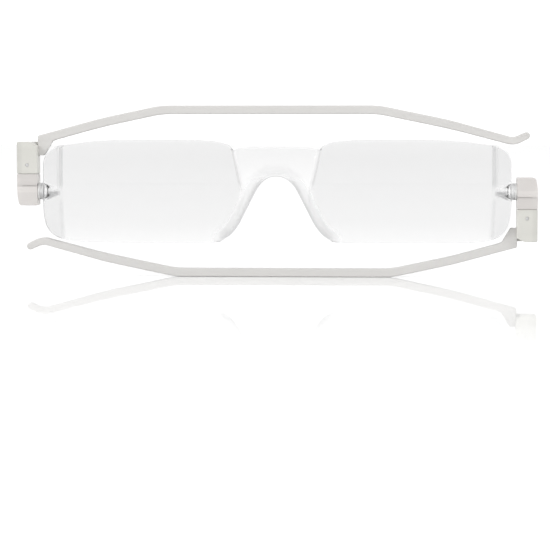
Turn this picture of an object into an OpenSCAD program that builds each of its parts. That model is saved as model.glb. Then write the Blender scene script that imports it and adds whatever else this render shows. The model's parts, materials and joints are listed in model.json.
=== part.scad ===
// Flat-folding reading glasses: a one-piece clear front, a turning hinge block at each end of it,
// and a folding arm on each block. Drawn folded flat, standing on the straight part of the lower arm.
// +X is to the right as seen from the front, the front faces -Y, and +Z is up.
// Everything but the front repeats by a half turn about the Y axis through the pivot line.

/* [Front] */
// Width of the clear front from end to end
front_w = 122.4; // [118:0.1:122.6]
// Height of the lens zones
lens_h = 26.9; // [25:0.1:28]
// Thickness of the end tabs and of the bridge
tab_t = 2.2; // [1.8:0.1:2.6]
// Height of the bridge's top edge above the pivot line
bridge_top = 11.5; // [10.8:0.1:12.2]
// Height of the nose notch's top above the pivot line
notch_top = 3.9; // [2:0.1:5]
// Width of the raised rim along the nose notch
rim_w = 2.4; // [1.5:0.1:3]
// How far the nose rim stands back from the middle plane
rim_back = 2.4; // [1.2:0.1:2.5]
// Radius of the lenses' front surface
lens_front_r = 220; // [150:5:400]
// Radius of the lenses' rear surface
lens_rear_r = 700; // [400:10:2000]
// Thickness of each lens at its optical centre
lens_t = 2.4; // [2:0.1:3]

/* [Pivot] */
// Diameter of the boss where a hinge block meets the front
boss_d = 4.4; // [4.2:0.1:4.6]
// Length of the boss
boss_len = 0.75; // [0.5:0.05:0.8]
// Length of the cone that blends the boss into the end tab
cone_len = 6; // [2:0.1:6.5]
// Diameter of the spigot's neck
neck_d = 3.5; // [3:0.1:3.5]
// Diameter of the spigot's head
head_d = 4; // [3.8:0.1:4]
// Length of the spigot's head
head_len = 0.65; // [0.5:0.05:0.7]

/* [Hinge block] */
// Overall width of the folded glasses
overall_w = 135.5; // [135.5:0.1:137]
// Width of a hinge block
block_w = 5.3; // [5.3:0.1:5.6]
// Depth of a hinge block, which is the thickness of the folded glasses
block_d = 5.2; // [5.2:0.1:5.6]
// Pivot line to the block's near end
hub_below = 3.7; // [3.2:0.1:4]
// Pivot line to the joint between the hub and the yoke
hub_above = 4.55; // [4:0.05:5]
// Pivot line to the block's far end
yoke_end = 12.95; // [12.9:0.05:13.1]

/* [Arm] */
// In-plane thickness of an arm
arm_t = 2.25; // [1.8:0.05:2.3]
// Height of an arm's straight middle above the pivot line
arm_mid = 21.25; // [20.5:0.05:22]
// Diameter of the arm's hinge pin
pin_d = 1.2; // [1:0.1:1.4]

/* [Hidden] */
$fn = 48;
half_w = front_w / 2;
half_h = lens_h / 2;
tab_half = tab_t / 2;
block_half = block_d / 2;
outer_x = overall_w / 2;
inner_x = outer_x - block_w;
axis_h = arm_mid + arm_t / 2;   // pivot line above the surface the glasses stand on

// Gaps between pieces
run_gap = 0.05;                 // round running fits
slide_gap = 0.05;               // flat faces that slide on each other
press_gap = 0.01;               // pins held in their holes
arm_front = 0.15;               // the arms keep this far behind the middle plane

// Lens centres and the lines where the lens zones end
lens_x = 33.2;
lens_vertex = -1.55;            // the lens's foremost point, along Y
crease_x = 56.4;                // outer crease
crease_drift = 0.6;             // how far the outer crease leans in at the bottom
notch_side = [11.3, 10.7];      // small dip between a lens and the bridge
crease_foot = [9, 0.4];         // lower end of the slanted crease beside the bridge
beyond = 2;                     // the zone outlines pass the front's edge by this much

// Spigot, along X from the front's end
boss_end = half_w + boss_len;
spigot_end = outer_x - 1.5;
head_start = spigot_end - head_len;
flat_from_axis = neck_d / 2 - 0.12;
bore_end = spigot_end + 0.1;

// Washer between the boss and the hub
washer_t = inner_x - boss_end - slide_gap;

// Detent spring, a flat leaf across the neck on the arm's side
spring_t = 0.22;
spring_w = 4.2;
spring_z = neck_d / 2 + slide_gap;
spring_x = [inner_x + 0.2, head_start - 0.08];

// Tenon that joins the hub to the yoke, and its cross pin
tenon_w = 2.3;
tenon_d = 2.6;
tenon_h = 3.3;
tenon_x = outer_x - 2.7;
tenon_pin_d = 0.9;
tenon_pin_z = hub_above + 2.3;

// Arm hinge: the pin's place, and the slot in the yoke for the arm's tongue
pin_x = outer_x - 3.3;
pin_z = yoke_end - 1.7;
knuckle_r = 1.65;
slot_front = arm_front;
slot_rear = 1.85;
slot_floor = 2.05;              // below the pin
slot_side = 1.8;                // outwards from the pin
pin_front = -1.55;
pin_rear = block_half - 0.05;
lug_bevel = [2, 1];             // bevel on the front lug, clear of the other arm's tip

// Arm outline in the folded plane, for the arm that crosses the top
// Its shoulder is placed so that it lands on the yoke's end when the arm is open
shoulder_x = pin_x - (yoke_end - pin_z) - slide_gap;
strip_under = yoke_end + slide_gap;
strip_top = yoke_end + 1.7;
root = [-58, 14.6];
bow_in = [-46, 17.9];           // the legs bow out a little between root, bends and tip
bend_in = [-30.2, arm_mid];
bend_out = [26.5, arm_mid];
bow_out = [45, 17.45];
tip_bend = [61.7, 12.95];
tip_end = [64.9, 14.5];
tip_t = 1.85;
gusset = [[-61, 9.2], [-58.75, strip_under]];

// ---- Curves ----

function bezier(a, b, c, d, n = 6) =
    [for (i = [1:n]) let (t = i / n, s = 1 - t)
        a * s * s * s + 3 * b * s * s * t + 3 * c * s * t * t + d * t * t * t];
// The other half of a symmetric outline, without the points that lie on the middle line
function flip_x(pts) = [for (i = [len(pts) - 1:-1:0]) if (pts[i].x > 0) [-pts[i].x, pts[i].y]];
function reverse(pts) = [for (i = [len(pts) - 1:-1:0]) pts[i]];
function unit(v) = v / norm(v);
function side_of(v) = [-v.y, v.x];
// How far a curved face of radius r_face falls back at a distance r from its centre
function sag(r_face, r) = r_face - sqrt(r_face * r_face - r * r);
// Direction of travel at point i of a path
function heading(pts, i) =
    unit(pts[min(i + 1, len(pts) - 1)] - pts[max(i - 1, 0)]);
// A path moved sideways by w
function beside(pts, w) =
    [for (i = [0:len(pts) - 1]) pts[i] + side_of(heading(pts, i)) * w];
// A bend at b between a and c, rounded over a length r of each leg
function bend(a, b, c, r, n = 4) =
    let (p = b + unit(a - b) * r, q = b + unit(c - b) * r)
    concat([p], bezier(p, p + (b - p) * 0.6, q + (b - q) * 0.6, q, n));

// ---- Front ----

// Nose notch from its foot on the right up to its top
notch_foot = [14, 0.75 - half_h];
notch_half = concat(
    [notch_foot],
    bezier(notch_foot, [11.9, -11.9], [10.1, -9.2], [9.2, -7.4]),
    bezier([9.2, -7.4], [8, -5], [6.7, -2.5], [5.5, -0.1], 3),
    bezier([5.5, -0.1], [4.3, 2.2], [2.5, notch_top], [0, notch_top], 8)
);
notch_path = concat(notch_half, flip_x(notch_half));

// The front's edge on the right, from the bridge's top round to the notch's foot
edge_half = concat(
    [[0, bridge_top]],
    bezier([0, bridge_top], [5, bridge_top], [9.6, bridge_top], notch_side),
    bezier(notch_side, [12, 12.2], [13.5, 13.1], [20.5, half_h - 0.05]),
    bezier([20.5, half_h - 0.05], [28, half_h + 0.1], [40, half_h + 0.1], [46, half_h - 0.2]),
    bezier([46, half_h - 0.2], [51, 12.85], [54, 12.5], [56.2, 12.1], 3),
    bezier([56.2, 12.1], [59.5, 11.3], [half_w, 9.7], [half_w, 6.6]),
    [[half_w, -3]],
    bezier([half_w, -3], [half_w, -9.6], [60, -12.7], [52, 0.2 - half_h], 8),
    bezier([52, 0.2 - half_h], [49, -half_h], [46, -half_h], [43, -half_h], 3),
    [[20, -half_h]],
    bezier([20, -half_h], [17, -half_h], [15.6, -13.3], notch_foot, 4)
);
front_edge = concat(edge_half, [for (i = [1:len(notch_half) - 1]) notch_half[i]]);

lens_zone = [
    [notch_side.x, half_h + beyond],
    notch_side,
    crease_foot,
    [9.6, -3.2],
    [12.4, -9.6],
    [16.5, -half_h - beyond],
    [crease_x - crease_drift, -half_h - beyond],
    [crease_x, 0],
    [crease_x, half_h + beyond]
];

// Stands an XZ outline up and gives it its depth from y0 to y1
module slab(y0, y1) {
    translate([0, y1, 0])
        rotate([90, 0, 0])
            linear_extrude(y1 - y0)
                children();
}

module front_outline() {
    polygon(concat(front_edge, flip_x(front_edge)));
}

module lens_zones() {
    polygon(lens_zone);
    polygon(flip_x(lens_zone));
}

// A round meniscus blank on the lens's own axis, turned from the profile of its two curved faces
module lens_blank(x) {
    blank_r = 28.5;
    rings = 8;
    translate([x, 0, 0])
        rotate([90, 0, 0])
            rotate_extrude($fn = 96)
                polygon(concat(
                    [for (i = [0:rings]) let (r = blank_r * i / rings)
                        [r, -lens_vertex - sag(lens_front_r, r)]],
                    [for (i = [rings:-1:0]) let (r = blank_r * i / rings)
                        [r, -lens_vertex - lens_t - sag(lens_rear_r, r)]]
                ));
}

module lens(x, zone) {
    intersection() {
        slab(-block_half, block_half) intersection() {
            front_outline();
            polygon(zone);
        }
        lens_blank(x);
    }
}

module nose_rim() {
    slab(-tab_half, rim_back)
        polygon(concat(notch_path, reverse(beside(notch_path, -rim_w))));
}

// A round piece along X, from x0 to x1, on the pivot line
module along_x(x0, x1, r0, r1) {
    translate([x0, 0, 0])
        rotate([0, 90, 0])
            cylinder(h = x1 - x0, r1 = r0, r2 = r1);
}

// The pivot at the left end; the arm's side is +Z, and +Y once the block has turned
module spigot() {
    cone_tip_r = 0.25;
    root_in = 0.6;
    along_x(-half_w, cone_len - half_w, boss_d / 2, cone_tip_r);
    along_x(-boss_end, root_in - half_w, boss_d / 2, boss_d / 2);
    along_x(-spigot_end, -head_start, head_d / 2, head_d / 2);
    difference() {
        along_x(-head_start, -boss_end, neck_d / 2, neck_d / 2);
        translate([-head_start, -neck_d, flat_from_axis])
            cube([head_start - inner_x, 2 * neck_d, neck_d]);
        translate([-head_start, flat_from_axis, -neck_d])
            cube([head_start - inner_x, neck_d, 2 * neck_d]);
    }
}

module front() color([0.93, 0.95, 0.96, 0.5]) {
    difference() {
        slab(-tab_half, tab_half) front_outline();
        slab(-block_half, block_half) lens_zones();
    }
    lens(lens_x, lens_zone);
    lens(-lens_x, flip_x(lens_zone));
    nose_rim();
    spigot();
    half_turn() spigot();
}

// ---- Hinge block, left-hand side ----

// A half turn about Y carries a left-hand piece to the right-hand side
module half_turn() {
    rotate([0, 180, 0]) children();
}

// A round hole or pin along Y from y0 to y1
module along_y(x, z, d, y0, y1) {
    translate([x, y1, z])
        rotate([90, 0, 0])
            cylinder(h = y1 - y0, d = d);
}

// A box given by two opposite corners
module span(low, high) {
    translate(low) cube(high - low);
}

module pivot_washer() color([0.85, 0.86, 0.84])
    difference() {
        along_x(slide_gap / 2 - inner_x, slide_gap / 2 - inner_x + washer_t, boss_d / 2, boss_d / 2);
        along_x(-inner_x, -boss_end, neck_d / 2 + run_gap, neck_d / 2 + run_gap);
    }

module hinge_hub() color([0.86, 0.83, 0.78])
    difference() {
        union() {
            span([-outer_x, -block_half, -hub_below], [-inner_x, block_half, hub_above]);
            span([-tenon_x - tenon_w / 2, -tenon_d / 2, 0],
                 [-tenon_x + tenon_w / 2, tenon_d / 2, hub_above + tenon_h]);
        }
        along_x(-bore_end, 1 - inner_x, head_d / 2 + run_gap, head_d / 2 + run_gap);
        span([-spring_x[1] - 0.05, -spring_w / 2 - 0.05, 0],
             [1 - inner_x, spring_w / 2 + 0.05, spring_z + spring_t + 0.03]);
        along_y(-tenon_x, tenon_pin_z, tenon_pin_d + 2 * press_gap, -block_d, block_d);
    }

module detent_spring() color([0.6, 0.6, 0.62])
    span([-spring_x[1], -spring_w / 2, spring_z],
         [-spring_x[0], spring_w / 2, spring_z + spring_t]);

// Profile that the arm's tongue swings through, cut from the yoke
module tongue_slot() {
    corner_r = 1.2;
    slab(slot_front, slot_rear)
        translate([-pin_x, pin_z]) {
            translate([-slot_side, corner_r - slot_floor])
                square([block_w, slot_floor + block_w]);
            translate([corner_r - slot_side, -slot_floor])
                square([block_w, slot_floor + block_w]);
            translate([corner_r - slot_side, corner_r - slot_floor])
                circle(r = corner_r);
        }
}

module hinge_yoke() color([0.8, 0.77, 0.7])
    difference() {
        span([-outer_x, -block_half, hub_above], [-inner_x, block_half, yoke_end]);
        span([-tenon_x - tenon_w / 2 - slide_gap, -tenon_d / 2 - slide_gap, 0],
             [-tenon_x + tenon_w / 2 + slide_gap, tenon_d / 2 + slide_gap,
              hub_above + tenon_h + slide_gap]);
        tongue_slot();
        slab(-block_d, slot_front)
            polygon([
                [-inner_x - lug_bevel.x, yoke_end],
                [-inner_x, yoke_end - lug_bevel.y],
                [1 - inner_x, yoke_end - lug_bevel.y],
                [1 - inner_x, yoke_end + 1],
                [-inner_x - lug_bevel.x, yoke_end + 1]
            ]);
        along_y(-tenon_x, tenon_pin_z, tenon_pin_d + 2 * press_gap, -block_d, block_d);
        along_y(-pin_x, pin_z, pin_d + 2 * press_gap, pin_front - 0.05, block_d);
    }

module tenon_pin() color([0.7, 0.7, 0.72])
    along_y(-tenon_x, tenon_pin_z, tenon_pin_d, 0.05 - block_half, block_half - 0.05);

module arm_pin() color([0.7, 0.7, 0.72])
    along_y(-pin_x, pin_z, pin_d, pin_front, pin_rear);

// ---- Arm, left-hand side ----

arm_path = concat(
    [root, bow_in],
    bend(bow_in, bend_in, bend_out, 2.2),
    bend(bend_in, bend_out, bow_out, 2.2),
    [bow_out],
    bend(bow_out, tip_bend, tip_end, 1.6),
    [tip_end]
);
// Half thickness at a point of the path: even along the arm, thinner past the last bow
function half_t(i) = (arm_path[i].x <= bow_out.x ? arm_t : i < len(arm_path) - 1 ? 2 : tip_t) / 2;
function arm_side(sign) =
    [for (i = [0:len(arm_path) - 1])
        arm_path[i] + side_of(heading(arm_path, i)) * half_t(i) * sign];
function tip_cap(n = 6) =
    let (h = heading(arm_path, len(arm_path) - 1))
    [for (i = [1:n - 1]) let (a = 90 - 180 * i / n)
        tip_end + (h * cos(a) + side_of(h) * sin(a)) * tip_t / 2];

module arm_profile() {
    polygon(concat(
        [[-shoulder_x, strip_under], [-shoulder_x, strip_top]],
        arm_side(1),
        tip_cap(),
        reverse(arm_side(-1)),
        [gusset[1]]
    ));
}

module tongue_profile() {
    translate([-pin_x, pin_z]) circle(r = knuckle_r);
    polygon([
        [-pin_x, pin_z - knuckle_r],
        gusset[0],
        gusset[1],
        [gusset[1].x, strip_under + 0.6],
        [-shoulder_x, strip_under + 0.6],
        [-shoulder_x, pin_z + 0.35],
        [-pin_x, pin_z]
    ]);
}

module arm() color([0.84, 0.83, 0.8])
    difference() {
        union() {
            slab(arm_front, block_half) arm_profile();
            slab(slot_front + slide_gap, slot_rear - slide_gap) tongue_profile();
        }
        along_y(-pin_x, pin_z, pin_d + 2 * run_gap, -block_d, block_d);
    }

// ---- Assembly ----

module stand() {
    translate([0, 0, axis_h]) children();
}

stand() front();
stand() pivot_washer();  // left_pivot_washer
stand() half_turn() pivot_washer();  // right_pivot_washer
stand() hinge_hub();  // left_hinge_hub
stand() half_turn() hinge_hub();  // right_hinge_hub
stand() detent_spring();  // left_detent_spring
stand() half_turn() detent_spring();  // right_detent_spring
stand() hinge_yoke();  // left_hinge_yoke
stand() half_turn() hinge_yoke();  // right_hinge_yoke
stand() tenon_pin();  // left_tenon_pin
stand() half_turn() tenon_pin();  // right_tenon_pin
stand() arm_pin();  // left_arm_pin
stand() half_turn() arm_pin();  // right_arm_pin
stand() arm();  // left_arm
stand() half_turn() arm();  // right_arm
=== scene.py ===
"""Folding reading glasses: detailed pieces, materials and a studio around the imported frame.

Shapes are worked out in millimetres, with z = 0 on the pivot line that runs through both hinge blocks,
and go to metres when a piece is published. A half turn about Y carries a left-hand piece to the right.
"""

import json
import math

import bmesh
import bpy
import numpy as np
from mathutils import Matrix, Vector
from mathutils.geometry import delaunay_2d_cdt


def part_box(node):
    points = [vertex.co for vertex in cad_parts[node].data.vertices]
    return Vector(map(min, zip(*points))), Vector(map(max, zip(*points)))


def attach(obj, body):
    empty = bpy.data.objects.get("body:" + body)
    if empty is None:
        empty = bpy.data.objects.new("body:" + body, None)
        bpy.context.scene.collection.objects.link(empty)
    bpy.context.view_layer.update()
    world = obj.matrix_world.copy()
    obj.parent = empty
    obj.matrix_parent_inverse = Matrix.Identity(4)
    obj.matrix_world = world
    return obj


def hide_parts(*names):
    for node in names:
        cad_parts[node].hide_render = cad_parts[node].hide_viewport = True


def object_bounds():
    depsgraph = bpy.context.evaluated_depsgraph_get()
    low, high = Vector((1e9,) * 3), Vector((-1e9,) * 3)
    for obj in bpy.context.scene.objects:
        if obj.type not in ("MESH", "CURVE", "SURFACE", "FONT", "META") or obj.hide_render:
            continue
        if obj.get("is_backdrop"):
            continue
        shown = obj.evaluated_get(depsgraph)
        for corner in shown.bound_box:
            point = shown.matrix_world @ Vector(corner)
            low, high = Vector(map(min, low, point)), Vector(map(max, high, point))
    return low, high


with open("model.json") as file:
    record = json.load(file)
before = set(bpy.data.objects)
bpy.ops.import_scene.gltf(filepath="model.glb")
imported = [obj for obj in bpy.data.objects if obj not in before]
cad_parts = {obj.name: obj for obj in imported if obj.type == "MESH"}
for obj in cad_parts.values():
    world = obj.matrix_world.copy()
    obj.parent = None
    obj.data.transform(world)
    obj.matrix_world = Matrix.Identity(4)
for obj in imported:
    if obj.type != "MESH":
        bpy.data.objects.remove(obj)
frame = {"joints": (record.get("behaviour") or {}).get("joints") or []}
cad_low, cad_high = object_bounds()

# ---- Places taken from the frame, in millimetres ----

MM = 0.001
joints = {j["name"]: j for j in frame["joints"]}
AXIS_Z = joints["left_block_turn"]["pos_m"][2]


def local_box(node):
    """A CAD node's lowest and highest corner in millimetres, with z measured from the pivot line."""
    low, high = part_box(node)
    shift = Vector((0, 0, AXIS_Z))
    return (low - shift) / MM, (high - shift) / MM


front_high = local_box("front")[1]
hub_low, hub_high = local_box("left_hinge_hub")
yoke_low, yoke_high = local_box("left_hinge_yoke")
washer_low, washer_high = local_box("left_pivot_washer")
spring_low, spring_high = local_box("left_detent_spring")
tenon_pin_low, tenon_pin_high = local_box("left_tenon_pin")
arm_pin_low, arm_pin_high = local_box("left_arm_pin")
arm_low, arm_high = local_box("left_arm")

OUTER_X = -hub_low.x
INNER_X = -hub_high.x
BLOCK_HALF = hub_high.y
HUB_BELOW = -hub_low.z
HUB_ABOVE = yoke_low.z
YOKE_END = yoke_high.z
PIN_X = -joints["left_arm_fold"]["pos_m"][0] / MM
PIN_Z = (joints["left_arm_fold"]["pos_m"][2] - AXIS_Z) / MM
SPIGOT_END = front_high.x
ARM_FRONT, ARM_REAR = arm_low.y, arm_high.y
ARM_TOP = arm_high.z

# ---- Driving dimensions of the shapes ----

# Clear front: half width and height, half thickness of a tab, heights of the bridge and the notch, and
# the rounding of its edges
FRONT_HALF_W = 61.2
HALF_H = 13.45
TAB_HALF = 1.1
BRIDGE_TOP = 11.5
NOTCH_TOP = 3.9
EDGE_ROUNDING = 0.16

# Lenses: centre, radii of the two faces and how far out they curve, place of the front vertex, thickness
# at the centre, where the outer step lies and how far it leans in at the bottom
LENS_X = 33.2
LENS_FRONT_R = 220
LENS_REAR_R = 700
LENS_REACH = 40
LENS_VERTEX = -1.55
LENS_T = 2.4
CREASE_X = 56.8
CREASE_LEAN = 0.6
CREASE_END_Z = 15.45

# Nose rim: how wide the front face is rounded off, how deep, how wide the rear face swells, and over
# what width the satin and the painted shade beside the notch fade
RIM_ROUND_W = 2.3
RIM_ROUND_DEPTH = 1.35
RIM_SWELL_W = 2.9
RIM_SATIN_AND_SHADE_W = 2.5

# Spigot: boss, the cone that blends it into the tab, neck with its flats, and head
BOSS_R = 2.2
CONE_LEN = 6
CONE_TIP_R = 0.5
NECK_R = 1.75
HEAD_R = 2.0
HEAD_LEN = 0.65
NECK_FLAT = 1.63

# Hinge block: edge rounding, groove across the hub, the tenon that joins hub and yoke with the hole for
# its pin, and the sloped end of the yoke's lug
BLOCK_ROUNDING = 0.2
GROOVE_Z = 1.45
GROOVE_HALF = 0.1
GROOVE_DEPTH = 0.12
TENON_HALF_X = 1.15
TENON_HALF_Y = 1.3
TENON_ROOT = 2.9
TENON_HOLE_R = 0.46
LUG_LEN = 2
LUG_DROP = 1

# Arm: thickness along its middle and near its tip, and edge rounding
ARM_T = 2.25
ARM_TIP_T = 2.0
ARM_END_T = 1.85
ARM_ROUNDING = 0.32

# Clearance between parts that run on each other, and how far a cutter reaches past what it cuts
RUN_GAP = 0.05
PAST = 4

# How much painted shade each zone of the clear front gets, from 0 to 1. It stands in for the greys that
# clear plastic takes from its surroundings. Beyond TABS_FROM_X the zone outside a lens is its tab, and
# before it the bridge.
TABS_FROM_X = 30
LENS_PAINTED_SHADE = 0.218
TAB_PAINTED_SHADE = 0.245
BRIDGE_PAINTED_SHADE = 0.085
CONE_PAINTED_SHADE = 0.64
BOSS_PAINTED_SHADE = 0.35
OUTER_STEP_PAINTED_SHADE = 0.555
INNER_STEP_PAINTED_SHADE = 0.5
RIM_PAINTED_SHADE = 0.54
NEAR_RIM_PAINTED_SHADE = 0.25


# ---- Curves ----


def bezier(a, b, c, d, steps):
    """Points along a cubic curve, without its start."""
    a, b, c, d = (np.array(p, float) for p in (a, b, c, d))
    t = (np.arange(1, steps + 1) / steps)[:, None]
    s = 1 - t
    return a * s**3 + 3 * b * s**2 * t + 3 * c * s * t**2 + d * t**3


def chain(*parts):
    return np.vstack([np.atleast_2d(np.array(p, float)) for p in parts])


def mirrored(points):
    """The other half of a symmetric outline, in reverse order, without points on the middle line."""
    points = points[np.abs(points[:, 0]) > 1e-6]
    return points[::-1] * (-1, 1)


def straight(a, b, step):
    """Points from a to b, without a."""
    a, b = np.array(a, float), np.array(b, float)
    count = max(1, int(round(np.linalg.norm(b - a) / step)))
    return a + (b - a) * (np.arange(1, count + 1) / count)[:, None]


def arc(centre, radius, start, end, steps):
    """Points on a circle from angle start to angle end, in degrees."""
    angles = np.radians(np.linspace(start, end, steps + 1))
    return np.array(centre) + radius * np.column_stack([np.cos(angles), np.sin(angles)])


def rounded(points, radii):
    """A closed outline whose corners are rounded over the given length of each side."""
    out = []
    count = len(points)
    for i, (corner, r) in enumerate(zip(points, radii)):
        corner = np.array(corner, float)
        if r == 0:
            out.append(corner[None])
            continue
        before = np.array(points[i - 1], float) - corner
        after = np.array(points[(i + 1) % count], float) - corner
        p = corner + before / np.linalg.norm(before) * r
        q = corner + after / np.linalg.norm(after) * r
        out.append(p[None])
        out.append(bezier(p, p + (corner - p) * 0.55, q + (corner - q) * 0.55, q, 5))
    return np.vstack(out)


def inset(loop, distance):
    """A counterclockwise loop moved inwards, point for point."""
    before = loop - np.roll(loop, 1, 0)
    after = np.roll(loop, -1, 0) - loop
    normals = []
    for step in (before, after):
        n = np.column_stack([-step[:, 1], step[:, 0]])
        normals.append(n / np.linalg.norm(n, axis=1)[:, None])
    mitre = normals[0] + normals[1]
    mitre /= np.linalg.norm(mitre, axis=1)[:, None]
    stretch = 1 / np.maximum((mitre * normals[0]).sum(1), 0.6)
    return loop + mitre * (stretch * distance)[:, None]


def distance_to(points, line):
    """Distance from each point to an open polyline."""
    best = np.full(len(points), 1e9)
    for a, b in zip(line[:-1], line[1:]):
        ab = b - a
        t = np.clip(((points - a) @ ab) / (ab @ ab), 0, 1)
        best = np.minimum(best, np.linalg.norm(points - (a + t[:, None] * ab), axis=1))
    return best


def inside(points, loop):
    """Which points lie inside a closed loop."""
    x, z = points[:, 0], points[:, 1]
    found = np.zeros(len(points), bool)
    for (x0, z0), (x1, z1) in zip(loop, np.roll(loop, -1, 0)):
        if z0 == z1:
            continue
        crosses = (z0 > z) != (z1 > z)
        found ^= crosses & (x < (x1 - x0) * (z - z0) / (z1 - z0) + x0)
    return found


def smooth(t):
    t = np.clip(t, 0, 1)
    return t * t * (3 - 2 * t)


def sag(radius, r):
    return radius - np.sqrt(radius**2 - r**2)


# ---- Meshes ----

SUPPORT_INSET = 0.07


def new_object(name, verts, faces):
    mesh = bpy.data.meshes.new(name)
    mesh.from_pydata([tuple(map(float, v)) for v in verts], [], faces)
    mesh.validate()
    obj = bpy.data.objects.new(name, mesh)
    bpy.context.scene.collection.objects.link(obj)
    bm = bmesh.new()
    bm.from_mesh(mesh)
    bmesh.ops.recalc_face_normals(bm, faces=bm.faces)
    bm.to_mesh(mesh)
    bm.free()
    return obj


def slab(name, outline, front, rear, rounding, steps, interior=None):
    """A closed piece from an XZ outline. front and rear give Y at each point of an (n, 2) array.

    Its edges are rounded over `rounding`. interior holds the points that a curved face needs; a loop
    just inside the rounding then keeps the face's shading true up to its edge.
    """
    loops, drops = [], []
    for k in range(steps + 1):
        angle = math.pi / 2 * k / steps
        loops.append(inset(outline, rounding * (1 - math.cos(angle))))
        drops.append(rounding * (1 - math.sin(angle)))
    if interior is not None:
        loops.append(inset(outline, rounding + SUPPORT_INSET))
        drops.append(0.0)
    rows = len(loops)
    count = len(outline)
    verts, faces, rings = [], [], []
    for surface, sign in ((front, 1), (rear, -1)):
        for loop, drop in zip(loops, drops):
            rings.append(len(verts))
            y = surface(loop) + sign * drop
            verts.extend(zip(loop[:, 0], y, loop[:, 1]))

    def strip(a, b):
        for i in range(count):
            j = (i + 1) % count
            faces.append((a + i, a + j, b + j, b + i))

    for k in range(rows - 1):
        strip(rings[k], rings[k + 1])
        strip(rings[rows + k + 1], rings[rows + k])
    strip(rings[rows], rings[0])
    inner = loops[-1]
    for ring, surface in ((rings[rows - 1], front), (rings[-1], rear)):
        if interior is None:
            faces.append(tuple(range(ring, ring + count)))
            continue
        points = [Vector(p) for p in inner] + [Vector(p) for p in interior]
        edges = [(i, (i + 1) % count) for i in range(count)]
        found = delaunay_2d_cdt(points, edges, [], 1, 1e-5)
        out_points, out_faces, sources = found[0], found[2], found[3]
        placed = np.array([tuple(p) for p in out_points])
        y = surface(placed)
        index = []
        for i, origin in enumerate(sources):
            boundary = [o for o in origin if o < count]
            if boundary:
                index.append(ring + boundary[0])
            else:
                index.append(len(verts))
                verts.append((placed[i, 0], y[i], placed[i, 1]))
        faces.extend(tuple(index[i] for i in f) for f in out_faces)
    return new_object(name, verts, faces)


def flat(y):
    return lambda points: np.full(len(points), float(y))


def lathe(name, profile, axis="X", centre=(0, 0), steps=72):
    """A turned piece. profile is a list of (place along the axis, radius) whose ends have radius 0."""
    verts, faces = [], []
    rings = []
    for along, radius in profile:
        ring = []
        for k in range(1 if radius == 0 else steps):
            a = 2 * math.pi * k / steps
            u, v = radius * math.cos(a), radius * math.sin(a)
            if axis == "X":
                point = (along, centre[0] + u, centre[1] + v)
            else:
                point = (centre[0] + u, along, centre[1] + v)
            ring.append(len(verts))
            verts.append(point)
        rings.append(ring)
    for a, b in zip(rings[:-1], rings[1:]):
        for k in range(steps):
            m = (k + 1) % steps
            if len(a) == 1:
                faces.append((a[0], b[k], b[m]))
            elif len(b) == 1:
                faces.append((a[k], b[0], a[m]))
            else:
                faces.append((a[k], b[k], b[m], a[m]))
    return new_object(name, verts, faces)


def turned(start, end, radius, chamfer):
    """The profile of a pin with a small chamfer at each end."""
    return [
        (start, 0),
        (start, radius - chamfer),
        (start + chamfer * 0.35, radius - chamfer * 0.3),
        (start + chamfer, radius),
        (end - chamfer, radius),
        (end - chamfer * 0.35, radius - chamfer * 0.3),
        (end, radius - chamfer),
        (end, 0),
    ]


def block(name, low, high, bevel=0.0):
    """A box with bevelled edges."""
    x0, y0, z0 = low
    x1, y1, z1 = high
    corners = [(x, y, z) for x in (x0, x1) for y in (y0, y1) for z in (z0, z1)]
    faces = [(0, 1, 3, 2), (4, 6, 7, 5), (0, 4, 5, 1), (2, 3, 7, 6), (0, 2, 6, 4), (1, 5, 7, 3)]
    obj = new_object(name, corners, faces)
    if bevel:
        bm = bmesh.new()
        bm.from_mesh(obj.data)
        bmesh.ops.bevel(bm, geom=bm.edges[:], offset=bevel, segments=3, profile=0.5, affect="EDGES")
        bm.to_mesh(obj.data)
        bm.free()
    return obj


def prism(name, outline, y0, y1):
    """A sharp-edged piece from an XZ outline."""
    count = len(outline)
    verts = [(x, y, z) for y in (y0, y1) for x, z in outline]
    faces = [tuple(range(count)), tuple(range(2 * count - 1, count - 1, -1))]
    faces += [(i, (i + 1) % count, count + (i + 1) % count, count + i) for i in range(count)]
    return new_object(name, verts, faces)


def combine(obj, other, how):
    """Joins another solid to obj, or cuts it out of obj."""
    modifier = obj.modifiers.new(how, "BOOLEAN")
    modifier.operation = how
    modifier.solver = "EXACT"
    modifier.object = other
    apply_modifiers(obj)
    bpy.data.objects.remove(other)
    return obj


def apply_modifiers(obj):
    graph = bpy.context.evaluated_depsgraph_get()
    mesh = bpy.data.meshes.new_from_object(obj.evaluated_get(graph), depsgraph=graph)
    obj.modifiers.clear()
    old = obj.data
    obj.data = mesh
    bpy.data.meshes.remove(old)


def soften(obj, width):
    """Rounds the sharp edges that are left after cutting."""
    modifier = obj.modifiers.new("edges", "BEVEL")
    modifier.width = width
    modifier.segments = 2
    modifier.limit_method = "ANGLE"
    modifier.angle_limit = math.radians(35)
    modifier.use_clamp_overlap = True
    apply_modifiers(obj)
    return obj


def turned_copy(obj):
    """A copy of a left-hand piece, turned to the right-hand side."""
    copy = obj.copy()
    copy.data = obj.data.copy()
    copy.data.transform(Matrix.Rotation(math.pi, 4, "Y"))
    bpy.context.scene.collection.objects.link(copy)
    return copy


def place(piece, name, material, body, node, sharp=40):
    """Puts a finished piece in its place in the frame, in metres, instead of its CAD node.

    Edges that turn by more than `sharp` degrees stay sharp in the shading.
    """
    mesh = piece.data
    piece.name = name
    mesh.name = name
    mesh.transform(Matrix.Translation((0, 0, AXIS_Z)) @ Matrix.Diagonal((MM, MM, MM, 1)))
    mesh.materials.clear()
    mesh.materials.append(material)
    for polygon in mesh.polygons:
        polygon.use_smooth = True
    mesh.set_sharp_from_angle(angle=math.radians(sharp))
    weighted = piece.modifiers.new("normals", "WEIGHTED_NORMAL")
    weighted.keep_sharp = True
    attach(piece, body)
    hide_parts(node)


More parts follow.
